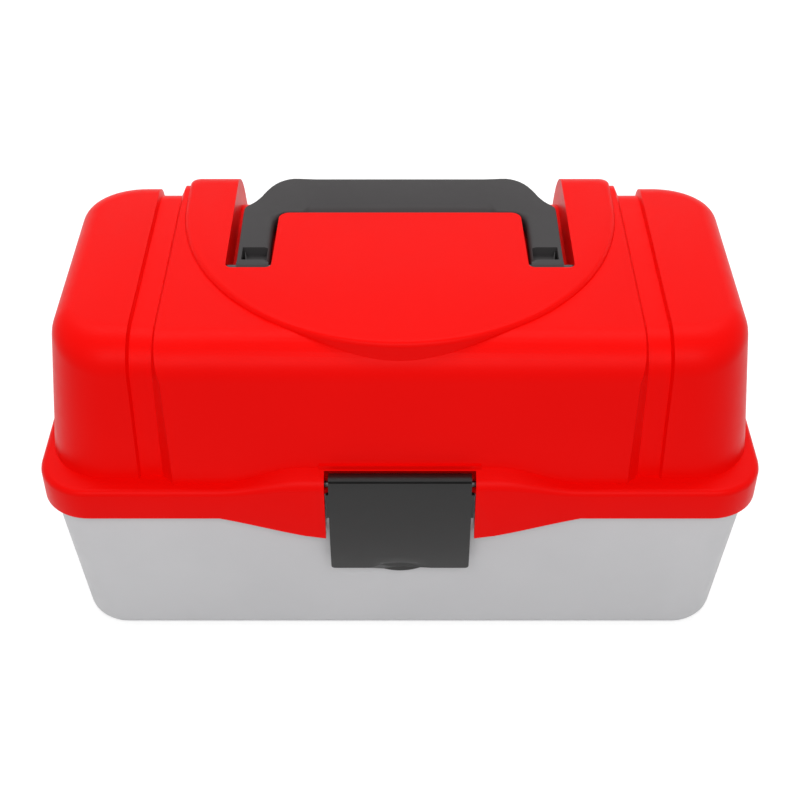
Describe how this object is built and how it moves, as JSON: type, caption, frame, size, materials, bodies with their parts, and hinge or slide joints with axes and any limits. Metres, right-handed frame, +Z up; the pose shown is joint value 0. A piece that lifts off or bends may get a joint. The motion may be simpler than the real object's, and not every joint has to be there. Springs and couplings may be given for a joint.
{
  "type": "cantilever-tray fishing tackle box",
  "caption": "Moulded plastic fishing tackle box with a red domed lid, folding top handle, front latch and cantilever trays that rise as the lid opens.",
  "frame": {"origin": "centre of the tub's underside, on the surface it stands on", "axes": "+X to the right as the latch is faced, +Y from the latch to the hinges, +Z up"},
  "size_m": [0.35, 0.1923, 0.1834],
  "materials": {
    "red_plastic": "satin",
    "grey_plastic": "satin",
    "dark_plastic": "satin",
    "latch_plastic": "satin",
    "tray_plastic": "satin",
    "steel": "satin"
  },
  "bodies": {
    "base": {"base_tub": "grey_plastic", "hinge_pin_left": "steel", "hinge_pin_right": "steel", "arm_foot_pin_left": "dark_plastic", "arm_foot_pin_right": "dark_plastic"},
    "lid": {"lid_shell": "red_plastic", "latch_pin": "steel", "handle_pin_left": "steel", "handle_pin_right": "steel", "lower_tray_pin_left": "dark_plastic", "lower_tray_pin_right": "dark_plastic", "upper_tray_pin_left": "dark_plastic", "upper_tray_pin_right": "dark_plastic"},
    "latch": {"latch": "latch_plastic"},
    "handle": {"handle": "dark_plastic"},
    "lower_tray": {"lower_tray": "tray_plastic", "lower_divider_left": "tray_plastic", "lower_divider_middle": "tray_plastic", "lower_divider_right": "tray_plastic"},
    "upper_tray": {"upper_tray": "tray_plastic", "upper_divider_left": "tray_plastic", "upper_divider_middle": "tray_plastic", "upper_divider_right": "tray_plastic"},
    "arm_left": {"arm_left": "dark_plastic", "lower_arm_pin_left": "dark_plastic", "upper_arm_pin_left": "dark_plastic"},
    "arm_right": {"arm_right": "dark_plastic", "lower_arm_pin_right": "dark_plastic", "upper_arm_pin_right": "dark_plastic"}
  },
  "joints": [
    {"name": "lid_hinge", "type": "hinge", "parent": "base", "child": "lid", "pos_m": [0, 0.095, 0.086], "axis": [-1, 0, 0], "range_deg": [0, 92]},
    {"name": "latch_hinge", "type": "hinge", "parent": "lid", "child": "latch", "pos_m": [0, -0.0872, 0.1103], "axis": [-1, 0, 0], "range_deg": [0, 100]},
    {"name": "handle_hinge", "type": "hinge", "parent": "lid", "child": "handle", "pos_m": [0, -0.00855, 0.18025], "axis": [1, 0, 0], "range_deg": [0, 90]},
    {"name": "lower_tray_swing", "type": "hinge", "parent": "lid", "child": "lower_tray", "pos_m": [0, 0.061, 0.1107], "axis": [-1, 0, 0], "range_deg": [-92, 0]},
    {"name": "upper_tray_swing", "type": "hinge", "parent": "lid", "child": "upper_tray", "pos_m": [0, 0.02205, 0.139], "axis": [-1, 0, 0], "range_deg": [-92, 0]},
    {"name": "arm_left_swing", "type": "hinge", "parent": "base", "child": "arm_left", "pos_m": [-0.1585, 0.039, 0.088], "axis": [-1, 0, 0], "range_deg": [0, 92]},
    {"name": "arm_right_swing", "type": "hinge", "parent": "base", "child": "arm_right", "pos_m": [0.1585, 0.039, 0.088], "axis": [-1, 0, 0], "range_deg": [0, 92]}
  ],
  "couplings": [
    {"joint": "lower_tray_swing", "follows": "lid_hinge", "ratio": -1},
    {"joint": "upper_tray_swing", "follows": "lid_hinge", "ratio": -1},
    {"joint": "arm_left_swing", "follows": "lid_hinge", "ratio": 1},
    {"joint": "arm_right_swing", "follows": "lid_hinge", "ratio": 1}
  ]
}
